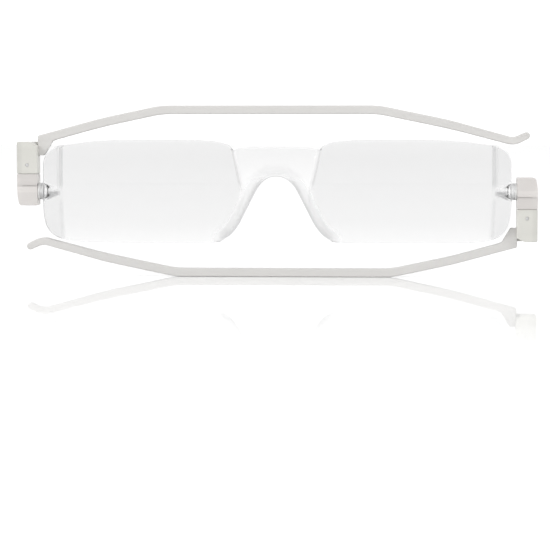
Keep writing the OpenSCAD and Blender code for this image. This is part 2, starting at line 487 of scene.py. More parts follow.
def both_sides(obj, part, material, body):
    """Places a left-hand piece and its copy on the right.

    Both keep the left-hand place of each point, in millimetres, as the attribute `plan`.
    """
    plan = obj.data.attributes.new("plan", "FLOAT_VECTOR", "POINT")
    plan.data.foreach_set("vector", np.array([v.co for v in obj.data.vertices], np.float32).ravel())
    for side, piece in (("right", turned_copy(obj)), ("left", obj)):
        node = f"{side}_{part}"
        place(piece, f"{node}_detail", material, body.format(side=side), node)


# ---- Materials ----


def new_material(name):
    material = bpy.data.materials.new(name)
    material.use_nodes = True
    nodes, links = material.node_tree.nodes, material.node_tree.links
    nodes.clear()
    out = nodes.new("ShaderNodeOutputMaterial")
    surface = nodes.new("ShaderNodeBsdfPrincipled")
    links.new(surface.outputs["BSDF"], out.inputs["Surface"])
    return material, nodes, links, surface


def noise(nodes, links, scale, detail, stretch=(1, 1, 1)):
    """Noise over the piece's own coordinates. Scale is in features per metre."""
    coords = nodes.new("ShaderNodeTexCoord")
    mapping = nodes.new("ShaderNodeMapping")
    mapping.inputs["Scale"].default_value = stretch
    texture = nodes.new("ShaderNodeTexNoise")
    texture.inputs["Scale"].default_value = scale
    texture.inputs["Detail"].default_value = detail
    texture.inputs["Roughness"].default_value = 0.55
    links.new(coords.outputs["Object"], mapping.inputs["Vector"])
    links.new(mapping.outputs["Vector"], texture.inputs["Vector"])
    return texture.outputs["Fac"]


def ramp(nodes, links, source, low, high, start=0.35, end=0.65):
    """Spreads a value between two colours, or between two greys given as numbers."""
    node = nodes.new("ShaderNodeValToRGB")
    for stop, place_at, value in zip(node.color_ramp.elements, (start, end), (low, high)):
        stop.position = place_at
        stop.color = (*value, 1) if isinstance(value, tuple) else (value, value, value, 1)
    links.new(source, node.inputs["Fac"])
    return node.outputs["Color"]


def bump(nodes, links, height, surface, strength, distance):
    node = nodes.new("ShaderNodeBump")
    node.inputs["Strength"].default_value = strength
    node.inputs["Distance"].default_value = distance
    links.new(height, node.inputs["Height"])
    links.new(node.outputs["Normal"], surface.inputs["Normal"])


def clear_plastic():
    """Clear polycarbonate: polished faces, satin steps and rim, faint flow marks, and painted shade.

    The painted shade greys the base colour where clear plastic takes darker tones from its surroundings.
    It and the haze are point attributes of the front's mesh.
    """
    material, nodes, links, surface = new_material("clear_front")
    surface.inputs["Transmission Weight"].default_value = 1.0
    surface.inputs["IOR"].default_value = 1.55
    painted_shade = nodes.new("ShaderNodeAttribute")
    painted_shade.attribute_name = "painted_shade"
    haze = nodes.new("ShaderNodeAttribute")
    haze.attribute_name = "haze"
    flow = noise(nodes, links, 260, 4)
    # Painted shade: the attribute takes the base colour from near white to dark grey
    shade = ramp(nodes, links, painted_shade.outputs["Fac"], (0.99, 0.99, 0.99), (0.12, 0.12, 0.125), 0.0, 1.0)
    links.new(shade, surface.inputs["Base Color"])
    rough = nodes.new("ShaderNodeMath")
    rough.operation = "MULTIPLY_ADD"
    links.new(haze.outputs["Fac"], rough.inputs[0])
    rough.inputs[1].default_value = 0.25
    links.new(ramp(nodes, links, flow, 0.012, 0.035), rough.inputs[2])
    links.new(rough.outputs["Value"], surface.inputs["Roughness"])
    bump(nodes, links, flow, surface, 0.04, 0.00002)
    return material


def graded(nodes, links, source, stops):
    """A grey that follows a coordinate, given as (place in millimetres, grey) stops."""
    start, end = stops[0][0], stops[-1][0]
    place_in = nodes.new("ShaderNodeMapRange")
    place_in.inputs["From Min"].default_value = start
    place_in.inputs["From Max"].default_value = end
    links.new(source, place_in.inputs["Value"])
    node = nodes.new("ShaderNodeValToRGB")
    elements = node.color_ramp.elements
    while len(elements) < len(stops):
        elements.new(0.5)
    for stop, (place_at, grey) in zip(elements, stops):
        stop.position = (place_at - start) / (end - start)
        stop.color = (grey, grey, grey, 1)
    links.new(place_in.outputs["Result"], node.inputs["Fac"])
    return node.outputs["Color"]


def tinted_plastic(name, light, dark, transmission, along, across):
    """Translucent moulded plastic with faint clouding and a fine satin grain.

    along and across are grey stops over Z and X of the left-hand piece. They multiply the colour with
    painted light and shade.
    """
    material, nodes, links, surface = new_material(name)
    surface.inputs["Transmission Weight"].default_value = transmission
    surface.inputs["IOR"].default_value = 1.49
    cloud = noise(nodes, links, 120, 3, (0.4, 1, 1))
    colour = ramp(nodes, links, cloud, dark, light, 0.3, 0.7)
    plan = nodes.new("ShaderNodeAttribute")
    plan.attribute_name = "plan"
    split = nodes.new("ShaderNodeSeparateXYZ")
    links.new(plan.outputs["Vector"], split.inputs[0])
    for axis, stops in (("Z", along), ("X", across)):
        times = nodes.new("ShaderNodeVectorMath")
        times.operation = "MULTIPLY"
        links.new(colour, times.inputs[0])
        links.new(graded(nodes, links, split.outputs[axis], stops), times.inputs[1])
        colour = times.outputs["Vector"]
    links.new(colour, surface.inputs["Base Color"])
    grain = noise(nodes, links, 2600, 2)
    links.new(ramp(nodes, links, grain, 0.32, 0.42), surface.inputs["Roughness"])
    bump(nodes, links, grain, surface, 0.04, 0.00001)
    return material


def steel(name):
    """Drawn steel wire and strip, with fine marks along its length."""
    material, nodes, links, surface = new_material(name)
    surface.inputs["Metallic"].default_value = 1.0
    marks = noise(nodes, links, 2500, 4, (1, 0.08, 1))
    shade = ramp(nodes, links, marks, (0.52, 0.52, 0.52), (0.64, 0.64, 0.64))
    links.new(shade, surface.inputs["Base Color"])
    links.new(ramp(nodes, links, marks, 0.34, 0.5), surface.inputs["Roughness"])
    bump(nodes, links, marks, surface, 0.2, 0.00001)
    return material


def acetal(name):
    """White bearing plastic with faint turning rings about the pivot line."""
    material, nodes, links, surface = new_material(name)
    coords = nodes.new("ShaderNodeTexCoord")
    centre = nodes.new("ShaderNodeMapping")
    centre.inputs["Location"].default_value = (0, 0, -AXIS_Z)
    rings = nodes.new("ShaderNodeTexWave")
    rings.wave_type = "RINGS"
    rings.rings_direction = "X"
    rings.inputs["Scale"].default_value = 1800
    rings.inputs["Distortion"].default_value = 0.6
    links.new(coords.outputs["Object"], centre.inputs["Vector"])
    links.new(centre.outputs["Vector"], rings.inputs["Vector"])
    shade = ramp(nodes, links, rings.outputs["Fac"], (0.6, 0.6, 0.59), (0.68, 0.68, 0.67), 0.2, 0.8)
    links.new(shade, surface.inputs["Base Color"])
    satin = ramp(nodes, links, rings.outputs["Fac"], 0.38, 0.5, 0.2, 0.8)
    links.new(satin, surface.inputs["Roughness"])
    bump(nodes, links, rings.outputs["Fac"], surface, 0.15, 0.00002)
    return material


# ---- The clear front ----

notch_foot = (14, 0.75 - HALF_H)
notch_half = chain(
    notch_foot,
    bezier(notch_foot, (11.9, -11.9), (10.1, -9.2), (9.2, -7.4), 14),
    bezier((9.2, -7.4), (8, -5), (6.7, -2.5), (5.5, -0.1), 14),
    bezier((5.5, -0.1), (4.3, 2.2), (2.5, NOTCH_TOP), (0, NOTCH_TOP), 14),
)
notch_line = chain(notch_half, mirrored(notch_half))
dip = (11.3, 10.7)
edge_half = chain(
    (0, BRIDGE_TOP),
    bezier((0, BRIDGE_TOP), (5, BRIDGE_TOP), (9.6, BRIDGE_TOP), dip, 16),
    bezier(dip, (12, 12.2), (13.5, 13.1), (20.5, HALF_H - 0.05), 20),
    bezier((20.5, HALF_H - 0.05), (28, HALF_H + 0.1), (40, HALF_H + 0.1), (46, HALF_H - 0.2), 32),
    bezier((46, HALF_H - 0.2), (51, 12.85), (54, 12.5), (56.2, 12.1), 14),
    bezier((56.2, 12.1), (59.5, 11.3), (FRONT_HALF_W, 9.7), (FRONT_HALF_W, 6.6), 16),
    straight((FRONT_HALF_W, 6.6), (FRONT_HALF_W, 2.6), 0.5),
    straight((FRONT_HALF_W, 2.6), (FRONT_HALF_W, -2.6), 0.2),
    straight((FRONT_HALF_W, -2.6), (FRONT_HALF_W, -3), 0.4),
    bezier((FRONT_HALF_W, -3), (FRONT_HALF_W, -9.6), (60, -12.7), (52, 0.2 - HALF_H), 26),
    bezier((52, 0.2 - HALF_H), (49, -HALF_H), (46, -HALF_H), (43, -HALF_H), 12),
    straight((43, -HALF_H), (20, -HALF_H), 0.8),
    bezier((20, -HALF_H), (17, -HALF_H), (15.1, -13.4), (14.45, -13.1), 10),
    bezier((14.45, -13.1), (14.15, -12.95), (13.95, -12.75), notch_half[1], 5),
)
front_loop = chain(edge_half, notch_half[2:], mirrored(chain(edge_half, notch_half[2:])))[::-1]

# Where the inner edge of each lens zone runs, as its x at a few heights
INNER_CREASE_Z = (-CREASE_END_Z, -9.6, -3.2, 0.4, 10.7, CREASE_END_Z)
INNER_CREASE_X = (16.5, 12.4, 9.6, 9.0, 11.3, 11.3)


def inner_crease(z):
    return np.interp(z, INNER_CREASE_Z, INNER_CREASE_X)


def outer_crease(z):
    return CREASE_X - CREASE_LEAN * np.clip(-z / CREASE_END_Z, 0, 1)


def wall_widths(z):
    """Widths of the outer and inner step: narrow above the pivot line, wide below it."""
    return 1.35 + 1.8 * soft_share(z), 1.0 + 1.7 * soft_share(z)


def soft_share(z):
    """0 where the steps are flat with crisp edges, 1 where they are a soft blend."""
    return smooth((0.6 - z) / 3.6)


def outer_place(points):
    """Place across the outer step: 0 at its tab side, 1 at its lens side."""
    z = points[:, 1]
    return (outer_crease(z) - np.abs(points[:, 0])) / wall_widths(z)[0] + 0.5


def inner_place(points):
    """Place across the inner step: 0 at its bridge side, 1 at its lens side."""
    z = points[:, 1]
    return (np.abs(points[:, 0]) - inner_crease(z)) / wall_widths(z)[1] + 0.5


def zone(points):
    """How far each point is into a lens zone, from 0 in a tab or the bridge to 1."""
    soft = soft_share(points[:, 1])
    share = 1.0
    for t in (outer_place(points), inner_place(points)):
        share = share * (soft * smooth(t) + (1 - soft) * np.clip(t, 0, 1))
    return share


def rim_share(points):
    """How strong the nose rim is beside each point: full on the legs, slight at the top."""
    return 0.35 + 0.65 * smooth((4.2 - points[:, 1]) / 5.5)


def cone_rise(points):
    """How far the cone that blends each pivot boss into its tab stands out of the tab's face."""
    x, z = np.abs(points[:, 0]), points[:, 1]
    along = np.clip((x - (FRONT_HALF_W - CONE_LEN)) / (CONE_LEN - 0.2), 0, 1)
    radius = CONE_TIP_R + (BOSS_R - CONE_TIP_R) * along
    across = np.clip(1 - (z / radius) ** 2, 0, 1)
    return (BOSS_R - TAB_HALF) * along**3 * across**2


def tab_depth(points):
    return TAB_HALF + cone_rise(points)


def front_face(points):
    centre = np.column_stack([LENS_X * np.sign(points[:, 0]), np.zeros(len(points))])
    r = np.linalg.norm(points - centre, axis=1)
    lens = LENS_VERTEX + sag(LENS_FRONT_R, np.minimum(r, LENS_REACH))
    w = zone(points)
    base = w * lens - (1 - w) * tab_depth(points)
    d = distance_to(points, notch_line)
    width = RIM_ROUND_W * rim_share(points)
    depth = RIM_ROUND_DEPTH * rim_share(points)
    t = np.clip(1 - d / width, 0, 1)
    return base + depth * (1 - np.sqrt(1 - t**2))


def rear_face(points):
    centre = np.column_stack([LENS_X * np.sign(points[:, 0]), np.zeros(len(points))])
    r = np.linalg.norm(points - centre, axis=1)
    lens = LENS_VERTEX + LENS_T + sag(LENS_REAR_R, np.minimum(r, LENS_REACH))
    w = zone(points)
    base = w * lens + (1 - w) * tab_depth(points)
    d = distance_to(points, notch_line)
    share = rim_share(points)
    rise = (front_high.y - 0.02 - base) * share
    return base + rise * smooth(1 - d / RIM_SWELL_W)


def wall_share(points):
    """1 on the steps at the edges of the lens zones, 0 elsewhere.

    In the soft lower part the steps fade, and a faint line runs down the middle of the outer one. The
    share sets the steps' haze and their painted shade.
    """
    z = points[:, 1]
    share = 0.0
    for t in (outer_place(points), inner_place(points)):
        band = smooth(np.minimum(t, 1 - t) / 0.14 + 0.5)
        lines = np.exp(-((t / 0.1) ** 2)) + np.exp(-(((t - 1) / 0.1) ** 2))
        share = np.maximum(share, 0.7 * band + 0.3 * lines)
    share = share * (0.25 + 0.75 * smooth((z + 1.5) / 4))
    line = np.exp(-(((outer_crease(z) - np.abs(points[:, 0])) / 0.45) ** 2))
    return np.maximum(share, 0.6 * soft_share(z) * line)


def cone_shadow(points):
    """The wedge below the pivot line in each cone, which looks dark: 1 inside it, 0 elsewhere."""
    x, z = np.abs(points[:, 0]), points[:, 1]
    start = FRONT_HALF_W - 4.2
    foot = 0.9 + 0.45 * (x - start)
    ends = smooth((x - start) / 0.4) * smooth((FRONT_HALF_W - 0.8 - x) / 0.3)
    return ends * smooth(0.5 - z / 0.4) * smooth(0.5 + (z + foot) / 0.4)


def painted_rim_shade(points):
    """The band of painted shade along the nose rim: strongest at the notch's edge, slight over its top.
    """
    d = distance_to(points, notch_line)
    z = points[:, 1]
    over_top = 0.2 + 0.8 * smooth((4.6 - z) / 3)
    at_feet = 0.5 + 0.5 * smooth((z + HALF_H) / 2)
    return smooth(1.1 - d / 1.7) * over_top * at_feet


def near_notch_share(points):
    """1 beside the notch, falling smoothly to 0 a few millimetres away from it."""
    return smooth(1.75 - distance_to(points, notch_line) / RIM_SATIN_AND_SHADE_W)


def rim_haze(points):
    """How satin the legs of the nose rim are: 1 beside the notch, 0 away from it and over its top."""
    return near_notch_share(points) * smooth((5.2 - points[:, 1]) / 3)


def painted_shade_of(points):
    """How much painted shade each point of the clear plastic gets, from 0 for clear to 1: lenses, tabs,
    bridge, steps, rim and cones differ. The tabs darken towards the bottom and the lenses lighten
    towards their top and bottom.
    """
    w = zone(points)
    outer = np.abs(points[:, 0]) > TABS_FROM_X
    outside = np.where(outer, TAB_PAINTED_SHADE * (1 - 0.022 * points[:, 1]), BRIDGE_PAINTED_SHADE)
    lens = LENS_PAINTED_SHADE * (1 - 0.4 * (points[:, 1] / HALF_H) ** 2)
    plain = w * lens + (1 - w) * outside
    step = np.where(outer, OUTER_STEP_PAINTED_SHADE, INNER_STEP_PAINTED_SHADE) * wall_share(points)
    slope = NEAR_RIM_PAINTED_SHADE * near_notch_share(points) * (1 - 0.45 * rim_haze(points))
    rim = RIM_PAINTED_SHADE * painted_rim_shade(points)
    return np.maximum.reduce([plain, step, slope, rim, CONE_PAINTED_SHADE * cone_shadow(points)])


def interior_points():
    """Points for the front's faces: a grid, with extra rows along the creases, rim and cones."""
    rows = []
    step = 1.1
    xs = np.arange(-FRONT_HALF_W, FRONT_HALF_W, step)
    zs = np.arange(-HALF_H, HALF_H + 0.2, step)
    gx, gz = np.meshgrid(xs, zs)
    gx[1::2] += step / 2
    grid = np.column_stack([gx.ravel(), gz.ravel()])
    w = zone(grid)
    near_notch = distance_to(grid, notch_line) < 3.2
    near_cone = (np.abs(grid[:, 0]) > FRONT_HALF_W - CONE_LEN - 0.6) & (np.abs(grid[:, 1]) < 3.0)
    rows.append(grid[~((w > 0.002) & (w < 0.998)) & ~near_notch & ~near_cone])
    z = np.arange(-HALF_H, HALF_H, 0.35)
    outer_w, inner_w = wall_widths(z)
    for sign in (-1, 1):
        for share in (-0.7, -0.6, -0.52, -0.46, -0.38, -0.25, 0, 0.25, 0.38, 0.46, 0.52, 0.6, 0.7):
            rows.append(np.column_stack([sign * (outer_crease(z) + share * outer_w), z]))
            rows.append(np.column_stack([sign * (inner_crease(z) + share * inner_w), z]))
    dense = notch_line
    for d in (0.5, 0.7, 0.95, 1.25, 1.6, 2.0, 2.4, 2.9):
        step_in = np.roll(dense, -1, 0) - dense
        step_in[-1] = step_in[-2]
        normal = np.column_stack([step_in[:, 1], -step_in[:, 0]])
        normal /= np.linalg.norm(normal, axis=1)[:, None]
        rows.append(dense + normal * d)
    cone_x = np.arange(FRONT_HALF_W - CONE_LEN - 0.4, FRONT_HALF_W - 0.4, 0.3)
    cone_z = np.arange(-2.8, 2.81, 0.2)
    cx, cz = np.meshgrid(cone_x, cone_z)
    cones = np.column_stack([cx.ravel(), cz.ravel()])
    cones = cones[zone(cones) < 0.01]
    rows += [cones, cones * (-1, 1)]
    points = np.vstack(rows)
    points = points[inside(points, inset(front_loop, 0.5))]
    kept, cells = [], set()
    for p in points:
        cell = (round(p[0] / 0.13), round(p[1] / 0.13))
        if cell not in cells:
            cells.add(cell)
            kept.append(p)
    return np.array(kept)


def spigot():
    """The pivot at the left end: boss, neck with detent flats, and a head that holds the block."""
    root = -FRONT_HALF_W
    boss_face = washer_high.x + 0.025
    head_start = HEAD_LEN - SPIGOT_END
    r = BOSS_R - 0.04
    obj = lathe("spigot", [
        (root + 0.9, 0),
        (root + 0.9, 1.2),
        (root + 0.3, r),
        (boss_face + 0.1, r),
        (boss_face, r - 0.1),
        (boss_face, NECK_R + 0.12),
        (boss_face - 0.1, NECK_R),
        (head_start, NECK_R),
        (head_start, HEAD_R - 0.06),
        (head_start - 0.06, HEAD_R),
        (0.2 - SPIGOT_END, HEAD_R),
        (0.06 - SPIGOT_END, HEAD_R - 0.07),
        (-SPIGOT_END, HEAD_R - 0.25),
        (-SPIGOT_END, 0),
    ][::-1])
    top = block("flat", (head_start, -PAST, NECK_FLAT), (-INNER_X, PAST, PAST))
    combine(obj, top, "DIFFERENCE")
    back = block("flat", (head_start, NECK_FLAT, -PAST), (-INNER_X, PAST, PAST))
    return combine(obj, back, "DIFFERENCE")


def build_front():
    body = slab("front_detail", front_loop, front_face, rear_face, EDGE_ROUNDING, 3, interior_points())
    left = spigot()
    right = turned_copy(left)
    combine(body, left, "UNION")
    combine(body, right, "UNION")
    mesh = body.data
    spots = np.array([(v.co.x, v.co.z) for v in mesh.vertices])
    out, up = np.abs(spots[:, 0]), spots[:, 1]
    haze = np.maximum(wall_share(spots), 1.3 * rim_haze(spots))
    painted_shade = painted_shade_of(spots)

    # The edges at the front's ends and at the notch's feet get no painted shade, so they show as light
    # strips, and are satin
    whole_edge = np.vstack([front_loop, front_loop[:1]])
    on_edge = distance_to(spots, whole_edge) < 0.18
    at_foot = (np.abs(out - 14.3) < 1.6) & (up < -11.8)
    on_end = on_edge & ((out > FRONT_HALF_W - 11) | at_foot)
    painted_shade[on_end] = 0.0
    haze[on_end] = 1.5

    # The pivots are frosted, and get painted shade below the pivot line
    on_pivot = (out > FRONT_HALF_W - 0.35) & (np.abs(up) < 2.5)
    haze[on_pivot] = 2.4
    painted_shade[on_pivot] = BOSS_PAINTED_SHADE * smooth(0.3 - up[on_pivot] / 0.8)
    for name, values in (("haze", haze), ("painted_shade", painted_shade)):
        attribute = mesh.attributes.new(name, "FLOAT", "POINT")
        attribute.data.foreach_set("value", values.astype(np.float32))
    return body


# ---- Hinge block, left-hand side ----

tenon_x = (tenon_pin_low.x + tenon_pin_high.x) / 2
arm_pin_r = (arm_pin_high.x - arm_pin_low.x) / 2


def build_washer():
    obj = lathe("washer", turned(washer_low.x, washer_high.x, washer_high.y, 0.08))
    through = turned(washer_low.x - 1, washer_high.x + 1, NECK_R + RUN_GAP, 0.01)
    return combine(obj, lathe("bore", through), "DIFFERENCE")


def build_hub():
    outline = rounded(
        [
            (-INNER_X, -HUB_BELOW),
            (-INNER_X, HUB_ABOVE - 0.02),
            (-OUTER_X, HUB_ABOVE - 0.02),
            (-OUTER_X, -1.0),
            (0.55 - OUTER_X, -HUB_BELOW),
        ],
        [0.35, 0.24, 0.24, 1.2, 0.75],
    )
    obj = slab("hub", outline, flat(-BLOCK_HALF), flat(BLOCK_HALF), BLOCK_ROUNDING, 4)
    tenon_low = (tenon_x - TENON_HALF_X, -TENON_HALF_Y, TENON_ROOT)
    tenon_high = (tenon_x + TENON_HALF_X, TENON_HALF_Y, hub_high.z)
    combine(obj, block("tenon", tenon_low, tenon_high, 0.12), "UNION")
    bore_r = HEAD_R + RUN_GAP
    bore = lathe("bore", [
        (-SPIGOT_END - 0.1, 0),
        (-SPIGOT_END - 0.1, bore_r - 0.2),
        (-SPIGOT_END + 0.1, bore_r),
        (-INNER_X - 0.12, bore_r),
        (-INNER_X + 0.05, bore_r + 0.17),
        (-INNER_X + 1, bore_r + 0.17),
        (-INNER_X + 1, 0),
    ])
    combine(obj, bore, "DIFFERENCE")
    pocket = block(
        "pocket",
        (spring_low.x - 0.05, spring_low.y - 0.05, 0),
        (1 - INNER_X, spring_high.y + 0.05, spring_high.z + 0.03),
    )
    combine(obj, pocket, "DIFFERENCE")
    for y in (-BLOCK_HALF, BLOCK_HALF):
        groove_low = (1.5 - OUTER_X, y - GROOVE_DEPTH, GROOVE_Z - GROOVE_HALF)
        groove_high = (1 - INNER_X, y + GROOVE_DEPTH, GROOVE_Z + GROOVE_HALF)
        combine(obj, block("groove", groove_low, groove_high), "DIFFERENCE")
    return combine(obj, tenon_hole(), "DIFFERENCE")


def tenon_hole():
    centre = (tenon_x, (tenon_pin_low.z + tenon_pin_high.z) / 2)
    return lathe("cross", turned(-PAST, PAST, TENON_HOLE_R, 0.01), "Y", centre, 32)


def build_yoke():
    outline = rounded(
        [
            (-INNER_X, HUB_ABOVE + 0.02),
            (-INNER_X, YOKE_END),
            (-OUTER_X, YOKE_END),
            (-OUTER_X, HUB_ABOVE + 0.02),
        ],
        [0.24, 0.3, 0.45, 0.24],
    )
    obj = slab("yoke", outline, flat(-BLOCK_HALF), flat(BLOCK_HALF), BLOCK_ROUNDING, 4)
    socket_x = TENON_HALF_X + RUN_GAP
    socket_y = TENON_HALF_Y + RUN_GAP
    socket_low = (tenon_x - socket_x, -socket_y, 2)
    socket_high = (tenon_x + socket_x, socket_y, hub_high.z + RUN_GAP)
    combine(obj, block("socket", socket_low, socket_high), "DIFFERENCE")
    slot_outline = rounded(
        [
            (-PIN_X - 1.8, PIN_Z - 2.05),
            (4 - INNER_X, PIN_Z - 2.05),
            (4 - INNER_X, YOKE_END + 3),
            (-PIN_X - 1.8, YOKE_END + 3),
        ],
        [1.0, 0, 0, 0],
    )
    combine(obj, prism("slot", slot_outline, ARM_FRONT, 1.85), "DIFFERENCE")
    slope = [
        (-INNER_X - LUG_LEN, YOKE_END),
        (-INNER_X, YOKE_END - LUG_DROP),
        (1 - INNER_X, YOKE_END - LUG_DROP),
        (1 - INNER_X, YOKE_END + 1),
        (-INNER_X - LUG_LEN, YOKE_END + 1),
    ]
    combine(obj, prism("slope", slope, -PAST, ARM_FRONT + 0.4), "DIFFERENCE")
    combine(obj, tenon_hole(), "DIFFERENCE")
    through = turned(arm_pin_low.y - 0.05, PAST, arm_pin_r + 0.01, 0.01)
    combine(obj, lathe("hole", through, "Y", (-PIN_X, PIN_Z), 48), "DIFFERENCE")
    return soften(obj, 0.07)


def build_spring():
    """A flat leaf with rounded edges."""
    return block("spring", spring_low, spring_high, 0.06)


def build_pin(low, high, chamfer):
    radius = (high.x - low.x) / 2
    centre = ((low.x + high.x) / 2, (low.z + high.z) / 2)
    return lathe("pin", turned(low.y, high.y, radius, chamfer), "Y", centre, 48)


# ---- Arm, left-hand side ----

SHOULDER_X = PIN_X - (YOKE_END - PIN_Z) - RUN_GAP
STRIP_UNDER = YOKE_END + RUN_GAP
STRIP_TOP = YOKE_END + 1.7
ARM_MID = ARM_TOP - ARM_T / 2


def bend(a, b, c, r):
    """A path's bend at b, rounded over a length r of each leg."""
    a, b, c = (np.array(p, float) for p in (a, b, c))
    p = b + (a - b) / np.linalg.norm(a - b) * r
    q = b + (c - b) / np.linalg.norm(c - b) * r
    return chain(p, bezier(p, p + (b - p) * 0.6, q + (b - q) * 0.6, q, 10))


def arm_outline():
    """The strip from its shoulder over the yoke to the hooked tip, as one closed loop."""
    root, bow_in, bend_in = (-58, 14.6), (-46, 17.9), (-30.2, ARM_MID)
    bend_out, bow_out = (26.5, ARM_MID), (45, 17.45)
    tip_bend, tip_end = (61.7, 12.95), (64.9, 14.5)
    path = chain(
        root,
        bend(root, bow_in, bend_in, 4),
        bend(bow_in, bend_in, bend_out, 2.2),
        bend(bend_in, bend_out, bow_out, 2.2),
        bend(bend_out, bow_out, tip_bend, 4),
        bend(bow_out, tip_bend, tip_end, 1.6),
        tip_end,
    )
    heading = np.gradient(path, axis=0)
    heading /= np.linalg.norm(heading, axis=1)[:, None]
    side = np.column_stack([-heading[:, 1], heading[:, 0]])
    thins_at = (bow_out[0], bow_out[0] + 8, tip_bend[0], tip_end[0])
    half = np.interp(path[:, 0], thins_at, (ARM_T, ARM_TIP_T, ARM_TIP_T, ARM_END_T)) / 2
    upper = path + side * half[:, None]
    lower = path - side * half[:, None]
    end, h, s, r = path[-1], heading[-1], side[-1], half[-1]
    cap = [end + (h * math.cos(a) + s * math.sin(a)) * r for a in np.radians(np.linspace(75, -75, 9))]
    shoulder = bezier((-SHOULDER_X, STRIP_TOP - 0.5), (-SHOULDER_X, STRIP_TOP - 0.2),
                      (-SHOULDER_X + 0.2, STRIP_TOP), (-SHOULDER_X + 0.5, STRIP_TOP + 0.02), 5)
    loop = chain(
        (-SHOULDER_X, STRIP_UNDER + 0.45),
        (-SHOULDER_X, STRIP_TOP - 0.5),
        shoulder,
        upper,
        cap,
        lower[::-1],
        (-59.0, STRIP_UNDER),
        (-SHOULDER_X + 0.45, STRIP_UNDER),
        bezier((-SHOULDER_X + 0.45, STRIP_UNDER), (-SHOULDER_X + 0.2, STRIP_UNDER),
               (-SHOULDER_X, STRIP_UNDER + 0.2), (-SHOULDER_X, STRIP_UNDER + 0.45), 5)[:-1],
    )
    return loop[::-1]


def build_arm():
    strip = slab("arm", arm_outline(), flat(ARM_FRONT), flat(ARM_REAR), ARM_ROUNDING, 4)
    centre = (-PIN_X, PIN_Z)
    tongue_outline = chain(
        (-58.75, STRIP_UNDER + 0.6),
        (-SHOULDER_X + 0.05, STRIP_UNDER + 0.6),
        (-SHOULDER_X + 0.05, PIN_Z + 0.35),
        arc(centre, 1.65, 14, 262, 26),
        (-61.35, 9.35),
        bezier((-61.35, 9.35), (-60.9, 9.4), (-60.85, 9.5), (-60.65, 9.85), 4),
        (-58.75, STRIP_UNDER),
    )
    tongue = slab("tongue", tongue_outline, flat(ARM_FRONT + 0.05), flat(1.8), 0.15, 2)
    combine(strip, tongue, "UNION")
    hole = lathe("hole", turned(-PAST, PAST, arm_pin_r + RUN_GAP, 0.01), "Y", centre, 48)
    return combine(strip, hole, "DIFFERENCE")


# ---- Assembly ----

materials = {
    "clear_front": clear_plastic(),
    # Hub: painted light and shade in bands over its height, lighter just above the pivot line and with
    # painted shade along the groove and above it; a painted highlight along its inner edge and a little
    # painted light at its outer edge
    "hub_plastic": tinted_plastic(
        "hub_plastic", (0.65, 0.626, 0.607), (0.626, 0.598, 0.579), 0.15,
        along=(
            (-HUB_BELOW, 1.04),
            (-3.2, 0.98),
            (-0.4, 1.0),
            (-0.1, 1.07),
            (1.1, 1.05),
            (GROOVE_Z - 0.12, 0.84),
            (GROOVE_Z + 0.12, 0.84),
            (1.9, 0.93),
            (3.1, 0.97),
            (HUB_ABOVE, 0.93),
        ),
        across=((-OUTER_X, 1.03), (1.4 - OUTER_X, 1.0), (-INNER_X - 0.2, 1.0), (-INNER_X - 0.02, 1.2)),
    ),
    # Yoke: painted shade towards its outer edge and in faint bands near its ends, and a painted
    # highlight along its inner edge
    "yoke_plastic": tinted_plastic(
        "yoke_plastic", (0.64, 0.635, 0.595), (0.615, 0.61, 0.57), 0.1,
        along=((HUB_ABOVE, 0.96), (HUB_ABOVE + 1.3, 1.0), (YOKE_END - 2, 0.97), (YOKE_END - 1, 1.0)),
        across=(
            (-OUTER_X, 0.9),
            (1.0 - OUTER_X, 0.93),
            (1.6 - OUTER_X, 1.0),
            (-INNER_X - 0.2, 1.0),
            (-INNER_X - 0.02, 1.2),
        ),
    ),
    # Arm: painted light over the tongue, which its slot shades, and a little darker towards the hooked
    # tip
    "arm_plastic": tinted_plastic(
        "arm_plastic", (0.60, 0.59, 0.575), (0.58, 0.57, 0.555), 0.08,
        along=((9.3, 0.98), (12.0, 1.08), (15.0, 1.0)),
        across=((-60.0, 1.0), (60.0, 1.0), (66.0, 0.95)),
    ),
    "washer": acetal("washer"),
    "steel": steel("steel"),
}

place(build_front(), "front_detail", materials["clear_front"], "front", "front", sharp=50)
both_sides(build_washer(), "pivot_washer", materials["washer"], "front")
both_sides(build_hub(), "hinge_hub", materials["hub_plastic"], "{side}_block")
both_sides(build_spring(), "detent_spring", materials["steel"], "{side}_block")
both_sides(build_yoke(), "hinge_yoke", materials["yoke_plastic"], "{side}_block")
for part, (low, high), chamfer in (
    ("tenon_pin", (tenon_pin_low, tenon_pin_high), 0.1),
    ("arm_pin", (arm_pin_low, arm_pin_high), 0.12),
):
    both_sides(build_pin(low, high, chamfer), part, materials["steel"], "{side}_block")
both_sides(build_arm(), "arm", materials["arm_plastic"], "{side}_arm")

# ---- Studio ----

# The floor, in metres: half its size, its level, how white it is, what share of it mirrors, and how far
# from the object the mirroring is full and gone
FLOOR_HALF = 8.0
FLOOR_Z = -0.00003
FLOOR_WHITE = 0.97
MIRROR_SHARE = 0.54
MIRROR_FULL_TO = 0.1
MIRROR_GONE_AT = 0.25

# Share of the picture's width that the object fills, and the point that the lights are turned to
FILLS_WIDTH = 0.941
MIDDLE = Vector((0, 0, 0.02))


def math_node(nodes, links, operation, first, second=None):
    node = nodes.new("ShaderNodeMath")
    node.operation = operation
    for socket, value in zip(node.inputs, (first, second)):
        if isinstance(value, (int, float)):
            socket.default_value = value
        elif value is not None:
            links.new(value, socket)
    return node.outputs["Value"]


def spread(nodes, links, source, start, end, low, high):
    """Smoothly takes a value from start..end to low..high."""
    node = nodes.new("ShaderNodeMapRange")
    node.interpolation_type = "SMOOTHSTEP"
    for name, value in (("From Min", start), ("From Max", end), ("To Min", low), ("To Max", high)):
        node.inputs[name].default_value = value
    links.new(source, node.inputs["Value"])
    return node.outputs["Result"]


